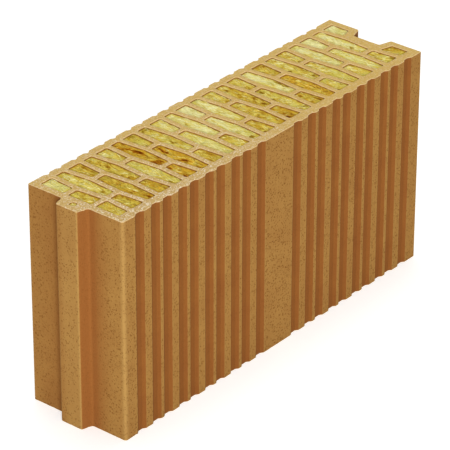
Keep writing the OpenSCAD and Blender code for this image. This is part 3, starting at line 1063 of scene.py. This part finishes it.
wool_pieces = []
wool_nodes = sorted(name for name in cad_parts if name.startswith("wool"))
for number, node in enumerate(wool_nodes):
    draw = np.random.default_rng(FIRST_SEED + number)
    ring = upper_rings(node)[0]
    base, top = (corner[2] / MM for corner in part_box(node))
    lot = FIRST_LOT + number * LOT_STEP
    lean = draw.normal(0, LEAN_SPREAD)
    cell = node.removeprefix("wool_")
    marks = STAINS.get(cell, [])
    level = TONGUE_LEVEL if cell == "tongue" else MAT_LEVEL
    grade = GRADES.get(cell, USUAL_GRADE)
    mat, shell, measured = wool_mat(ring, base, top, lot, lean, level, draw, marks)
    strands, tube, ends, tones, scorch = loose_strands(ring, top, lot, lean, level, grade, draw, marks)
    bare = np.zeros(len(strands))
    on_strands = {"hollow": bare, "resin": bare, "scorch": scorch, "felt": tones}
    attributes = {
        name: np.concatenate([measured[name].ravel(), values]) for name, values in on_strands.items()
    }
    tone = grade * GRADE_SHARE + draw.uniform(0.0, TONE_SPREAD)
    attributes["batch"] = np.full(len(mat) + len(strands), tone)
    wool_faces = [shell, tube + len(mat), ends + len(mat)]
    piece = make_piece(node + "_fill", np.concatenate([mat, strands]), wool_faces, attributes, WOOL_SHARP)
    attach(piece, "root")
    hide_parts(node)
    wool_pieces.append(piece)
print("wool pieces:", len(wool_pieces), "faces:", sum(len(piece.data.polygons) for piece in wool_pieces))

# %% [markdown]
# ## Wool finish
# Mineral wool is spun rock bound with a yellow resin. Where the binder is thin the fibres look almost
# white, and where it has pooled they are ochre to brown. The colour runs along a scale from pale to
# ochre, driven by the mat's own streaks, with a painted shade near the cell's walls, by finer streaks
# drawn in the material, and by the batch value, which follows the grade of one insert and is the same
# all over it. A slow drift turns parts of it greenish. Torn hollows, resin in the corners and the stains
# are then burnt in three steps, olive in a pale batch and brown in a golden one. Real fibres are too fine
# to show, so the streaks are drawn coarser, the gaps between strands get a painted shade and the strands
# between them a painted glint.

# %% Comb the fibres
mineral_wool, tree, shader = new_material("mineral_wool")
place = add(tree, "TexCoord").outputs["Object"]
felt, batch, hollow, resin, scorch = (
    add(tree, "Attribute", attribute_name=name).outputs["Fac"]
    for name in ("felt", "batch", "hollow", "resin", "scorch")
)
combed = add(tree, "Mapping", {"Vector": place, "Scale": (1.0, 0.14, 1.0)}).outputs[0]
fibres = add(tree, "TexNoise", {"Vector": combed, "Scale": per_mm(1.1), "Detail": 3.0}).outputs["Fac"]
clouds = add(tree, "TexNoise", {"Vector": place, "Scale": per_mm(9), "Detail": 3.0}).outputs["Fac"]
scale = add(tree, "Math", {0: fibres, 1: 0.5, 2: 0.125}, operation="MULTIPLY_ADD").outputs[0]
# The felt carries a painted shade near the cell's walls, which moves the wool towards ochre
scale = add(tree, "Math", {0: felt, 1: 0.45, 2: scale}, operation="MULTIPLY_ADD").outputs[0]
cloudy = add(tree, "Math", {0: clouds, 1: -0.5}, operation="ADD").outputs[0]
gain = add(
    tree, "MapRange", {"Value": batch, "From Min": -0.3, "From Max": 1.4, "To Min": 0.35, "To Max": 1.05}
).outputs[0]
scale = add(tree, "Math", {0: cloudy, 1: gain, 2: scale}, operation="MULTIPLY_ADD").outputs[0]
grade = add(tree, "Math", {0: batch, 1: 1.1}, operation="MINIMUM").outputs[0]
graded = add(tree, "Math", {0: grade, 1: 0.36, 2: 0.16}, operation="MULTIPLY_ADD").outputs[0]
scale = add(tree, "Math", {0: scale, 1: graded}, operation="ADD").outputs[0]
print("patterns in the wool: fibres and clouds")

# %% Dye the wool from pale to ochre
to_yellow = add(
    tree,
    "MapRange",
    {"Value": scale, "From Min": 0.62, "From Max": 0.98},
    interpolation_type="SMOOTHSTEP",
)
to_ochre = add(
    tree, "MapRange", {"Value": scale, "From Min": 0.98, "From Max": 1.3}, interpolation_type="SMOOTHSTEP"
)
pale = add(
    tree, "Mix", {0: to_yellow.outputs[0], 6: linear("#E8E3A6"), 7: linear("#D6C154")}, data_type="RGBA"
)
golden = add(tree, "MapRange", {"Value": batch, "From Min": 1.25, "From Max": 1.35}).outputs[0]
deep = add(tree, "Mix", {0: golden, 6: linear("#C29B2B"), 7: linear("#CDA22D")}, data_type="RGBA")
ochre = add(
    tree, "Mix", {0: to_ochre.outputs[0], 6: pale.outputs[2], 7: deep.outputs[2]}, data_type="RGBA"
)
drift = add(tree, "TexNoise", {"Vector": place, "Scale": per_mm(14), "Detail": 2.0}).outputs["Fac"]
green_share = add(
    tree, "MapRange", {"Value": drift, "From Min": 0.48, "From Max": 0.7, "To Max": 0.55}
).outputs[0]
not_golden = add(tree, "MapRange", {"Value": golden, "To Min": 1.0, "To Max": 0.4}).outputs[0]
green_share = add(tree, "Math", {0: green_share, 1: not_golden}, operation="MULTIPLY").outputs[0]
ochre = add(tree, "Mix", {0: green_share, 6: ochre.outputs[2], 7: linear("#C9BF54")}, data_type="RGBA")
print("dyes: pale, yellow, ochre and a green drift")

# %% Speck the wool with darker tufts
tufted = add(tree, "Mapping", {"Vector": place, "Scale": (1.0, 0.4, 1.0)}).outputs[0]
tufts = add(tree, "TexNoise", {"Vector": tufted, "Scale": per_mm(2.4), "Detail": 2.0}).outputs["Fac"]
tuft_most = add(
    tree, "MapRange", {"Value": to_ochre.outputs[0], "To Min": 0.15, "To Max": 0.75}
).outputs[0]
tuft_share = add(
    tree, "MapRange", {"Value": tufts, "From Min": 0.55, "From Max": 0.67, "To Max": tuft_most}
)
tufted_wool = add(
    tree, "Mix", {0: tuft_share.outputs[0], 6: ochre.outputs[2], 7: linear("#8E661A")}, data_type="RGBA"
)
print("tufts of about 2 mm")

# %% Burn the torn and stained places
pooled = add(tree, "Math", {0: resin, 1: 0.4}, operation="MULTIPLY").outputs[0]
torn = add(tree, "Math", {0: hollow, 1: 0.2, 2: pooled}, operation="MULTIPLY_ADD").outputs[0]
torn_gain = add(
    tree, "MapRange", {"Value": batch, "From Min": -0.3, "From Max": 0.6, "To Min": 0.3}
).outputs[0]
torn = add(tree, "Math", {0: torn, 1: torn_gain}, operation="MULTIPLY").outputs[0]
torn = add(tree, "Math", {0: torn, 1: scorch}, operation="MAXIMUM").outputs[0]
patchy = add(
    tree, "MapRange", {"Value": tufts, "From Min": 0.4, "From Max": 0.56, "To Min": 0.5, "To Max": 1.15}
).outputs[0]
torn = add(tree, "Math", {0: torn, 1: patchy}, operation="MULTIPLY", use_clamp=True).outputs[0]
# From and to which share each burn is laid on, and its olive and brown colours
BURNS = (
    (0.08, 0.3, "#B0932A", "#BC861C"),
    (0.25, 0.55, "#93701A", "#935408"),
    (0.55, 0.95, "#6E4A08", "#682C02"),
)
warm = add(tree, "MapRange", {"Value": batch, "From Min": 0.5, "From Max": 1.3}).outputs[0]
dyed = tufted_wool
for start, end, olive, brown in BURNS:
    burnt = add(tree, "Mix", {0: warm, 6: linear(olive), 7: linear(brown)}, data_type="RGBA").outputs[2]
    share = add(tree, "MapRange", {"Value": torn, "From Min": start, "From Max": end}).outputs[0]
    dyed = add(tree, "Mix", {0: share, 6: dyed.outputs[2], 7: burnt}, data_type="RGBA")
print("burns:", len(BURNS))

# %% Paint shade in the gaps and glints on the strands, and finish the wool
teased = add(tree, "Mapping", {"Vector": place, "Scale": (1.0, 0.4, 1.0)}).outputs[0]
gaps = add(tree, "TexNoise", {"Vector": teased, "Scale": per_mm(1.8), "Detail": 1.0}).outputs["Fac"]
glint_and_shade_depth = add(
    tree, "MapRange", {"Value": batch, "From Min": 0.0, "From Max": 1.4, "To Min": 0.1, "To Max": 0.8}
).outputs[0]
gaps = add(tree, "Math", {0: gaps, 1: -0.5}, operation="ADD").outputs[0]
painted_glint_and_gap_shade = add(tree, "Math", {0: gaps, 1: glint_and_shade_depth, 2: 1.0}, operation="MULTIPLY_ADD").outputs[0]
# Painted shade darkens the colour in the gaps, and a painted glint lightens the strands between them, by up
# to half the depth
wool_with_painted_glints = add(tree, "VectorMath", {0: dyed.outputs[2], "Scale": painted_glint_and_gap_shade}, operation="SCALE")
fuzz = add(tree, "Bump", {"Height": fibres, "Strength": 0.5, "Distance": 0.5 * MM})
tree.links.new(wool_with_painted_glints.outputs[0], shader.inputs["Base Color"])
tree.links.new(fuzz.outputs[0], shader.inputs["Normal"])
shader.inputs["Roughness"].default_value = 0.95
shader.inputs["Specular IOR Level"].default_value = 0.05
for piece in wool_pieces:
    piece.data.materials.append(mineral_wool)
print("mineral wool has", len(tree.nodes), "nodes")
